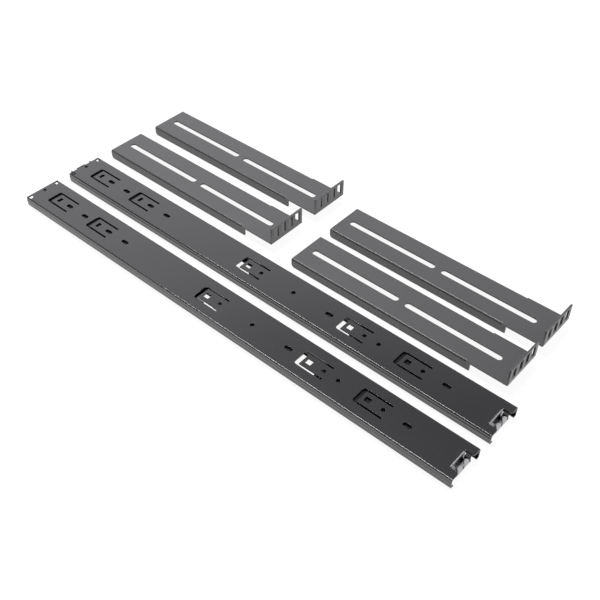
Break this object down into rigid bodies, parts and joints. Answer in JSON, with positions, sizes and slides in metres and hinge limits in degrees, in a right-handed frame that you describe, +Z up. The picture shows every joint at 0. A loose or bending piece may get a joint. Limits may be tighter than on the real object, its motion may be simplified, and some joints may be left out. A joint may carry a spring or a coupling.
{
  "type": "server rail kit",
  "caption": "Sliding server rails: full-extension ball-bearing slides with release levers, laid out with slotted rack brackets that have bent-up, windowed ears.",
  "frame": {"origin": "centre of the overall box at the surface that the kit lies on", "axes": "+X along the slides from their front end to their rear end, +Y from the first slide towards the brackets, +Z up"},
  "size_m": [0.608, 0.2528, 0.0313],
  "materials": {
    "coated_steel": "satin black-grey electrocoat over rolled steel",
    "coated_steel_middle": "satin black-grey electrocoat over rolled steel",
    "coated_steel_inner": "satin black-grey electrocoat over rolled steel",
    "bracket_steel": "satin dark-grey powder coat on bent sheet steel",
    "plated_steel": "zinc-plated strip",
    "ball_steel": "polished hardened steel with a film of grease",
    "spring_steel": "bright nickel-plated spring strip",
    "rivet_steel": "zinc-plated rivet",
    "bumper_rubber": "matte black moulded rubber",
    "lever_plastic": "fine-textured black moulded plastic"
  },
  "bodies": {
    "slide_a_outer": {"slide_a_outer_member": "coated_steel", "slide_a_rear_clip": "spring_steel", "slide_a_rear_bumper": "bumper_rubber"},
    "slide_a_outer_cage": {"slide_a_outer_retainer": "plated_steel", "slide_a_outer_balls": "ball_steel"},
    "slide_a_middle": {"slide_a_middle_member": "coated_steel_middle"},
    "slide_a_inner_cage": {"slide_a_inner_retainer_near": "plated_steel", "slide_a_inner_retainer_far": "plated_steel", "slide_a_inner_balls": "ball_steel"},
    "slide_a_inner": {"slide_a_inner_member": "coated_steel_inner", "slide_a_lever_rivet": "rivet_steel"},
    "slide_a_lever": {"slide_a_release_lever": "lever_plastic"},
    "slide_b_outer": {"slide_b_outer_member": "coated_steel", "slide_b_rear_clip": "spring_steel", "slide_b_rear_bumper": "bumper_rubber"},
    "slide_b_outer_cage": {"slide_b_outer_retainer": "plated_steel", "slide_b_outer_balls": "ball_steel"},
    "slide_b_middle": {"slide_b_middle_member": "coated_steel_middle"},
    "slide_b_inner_cage": {"slide_b_inner_retainer_near": "plated_steel", "slide_b_inner_retainer_far": "plated_steel", "slide_b_inner_balls": "ball_steel"},
    "slide_b_inner": {"slide_b_inner_member": "coated_steel_inner", "slide_b_lever_rivet": "rivet_steel"},
    "slide_b_lever": {"slide_b_release_lever": "lever_plastic"},
    "bracket_1": {"bracket_1": "bracket_steel"},
    "bracket_2": {"bracket_2": "bracket_steel"},
    "bracket_3": {"bracket_3": "bracket_steel"},
    "bracket_4": {"bracket_4": "bracket_steel"}
  },
  "joints": [
    {"name": "slide_a_middle_slide", "type": "slide", "parent": "slide_a_outer", "child": "slide_a_middle", "axis": [-1, 0, 0], "range_m": [0, 0.3]},
    {"name": "slide_a_outer_cage_slide", "type": "slide", "parent": "slide_a_outer", "child": "slide_a_outer_cage", "axis": [-1, 0, 0], "range_m": [0, 0.15]},
    {"name": "slide_a_inner_slide", "type": "slide", "parent": "slide_a_middle", "child": "slide_a_inner", "axis": [-1, 0, 0], "range_m": [0, 0.3]},
    {"name": "slide_a_inner_cage_slide", "type": "slide", "parent": "slide_a_middle", "child": "slide_a_inner_cage", "axis": [-1, 0, 0], "range_m": [0, 0.15]},
    {"name": "slide_a_lever_hinge", "type": "hinge", "parent": "slide_a_inner", "child": "slide_a_lever", "pos_m": [0.0038, -0.1119, 0.0014], "axis": [0, 0, 1], "range_deg": [0, 4], "stiffness_Nm_per_rad": 0.02},
    {"name": "slide_b_middle_slide", "type": "slide", "parent": "slide_b_outer", "child": "slide_b_middle", "axis": [-1, 0, 0], "range_m": [-0.0025, 0.2975]},
    {"name": "slide_b_outer_cage_slide", "type": "slide", "parent": "slide_b_outer", "child": "slide_b_outer_cage", "axis": [-1, 0, 0], "range_m": [-0.00125, 0.14875]},
    {"name": "slide_b_inner_slide", "type": "slide", "parent": "slide_b_middle", "child": "slide_b_inner", "axis": [-1, 0, 0], "range_m": [-0.0055, 0.2945]},
    {"name": "slide_b_inner_cage_slide", "type": "slide", "parent": "slide_b_middle", "child": "slide_b_inner_cage", "axis": [-1, 0, 0], "range_m": [-0.00275, 0.14725]},
    {"name": "slide_b_lever_hinge", "type": "hinge", "parent": "slide_b_inner", "child": "slide_b_lever", "pos_m": [-0.0042, -0.0492, 0.0014], "axis": [0, 0, 1], "range_deg": [0, 4], "stiffness_Nm_per_rad": 0.02},
    {"name": "slide_b_lift_off", "type": "slide", "parent": "slide_a_outer", "child": "slide_b_outer", "axis": [0, 0, 1], "range_m": [0, 0.06]},
    {"name": "bracket_1_lift_off", "type": "slide", "parent": "slide_a_outer", "child": "bracket_1", "axis": [0, 0, 1], "range_m": [0, 0.06]},
    {"name": "bracket_2_lift_off", "type": "slide", "parent": "slide_a_outer", "child": "bracket_2", "axis": [0, 0, 1], "range_m": [0, 0.06]},
    {"name": "bracket_3_lift_off", "type": "slide", "parent": "slide_a_outer", "child": "bracket_3", "axis": [0, 0, 1], "range_m": [0, 0.06]},
    {"name": "bracket_4_lift_off", "type": "slide", "parent": "slide_a_outer", "child": "bracket_4", "axis": [0, 0, 1], "range_m": [0, 0.06]}
  ],
  "couplings": [
    {"joint": "slide_a_outer_cage_slide", "follows": "slide_a_middle_slide", "ratio": 0.5},
    {"joint": "slide_a_inner_cage_slide", "follows": "slide_a_inner_slide", "ratio": 0.5},
    {"joint": "slide_b_outer_cage_slide", "follows": "slide_b_middle_slide", "ratio": 0.5},
    {"joint": "slide_b_inner_cage_slide", "follows": "slide_b_inner_slide", "ratio": 0.5}
  ]
}
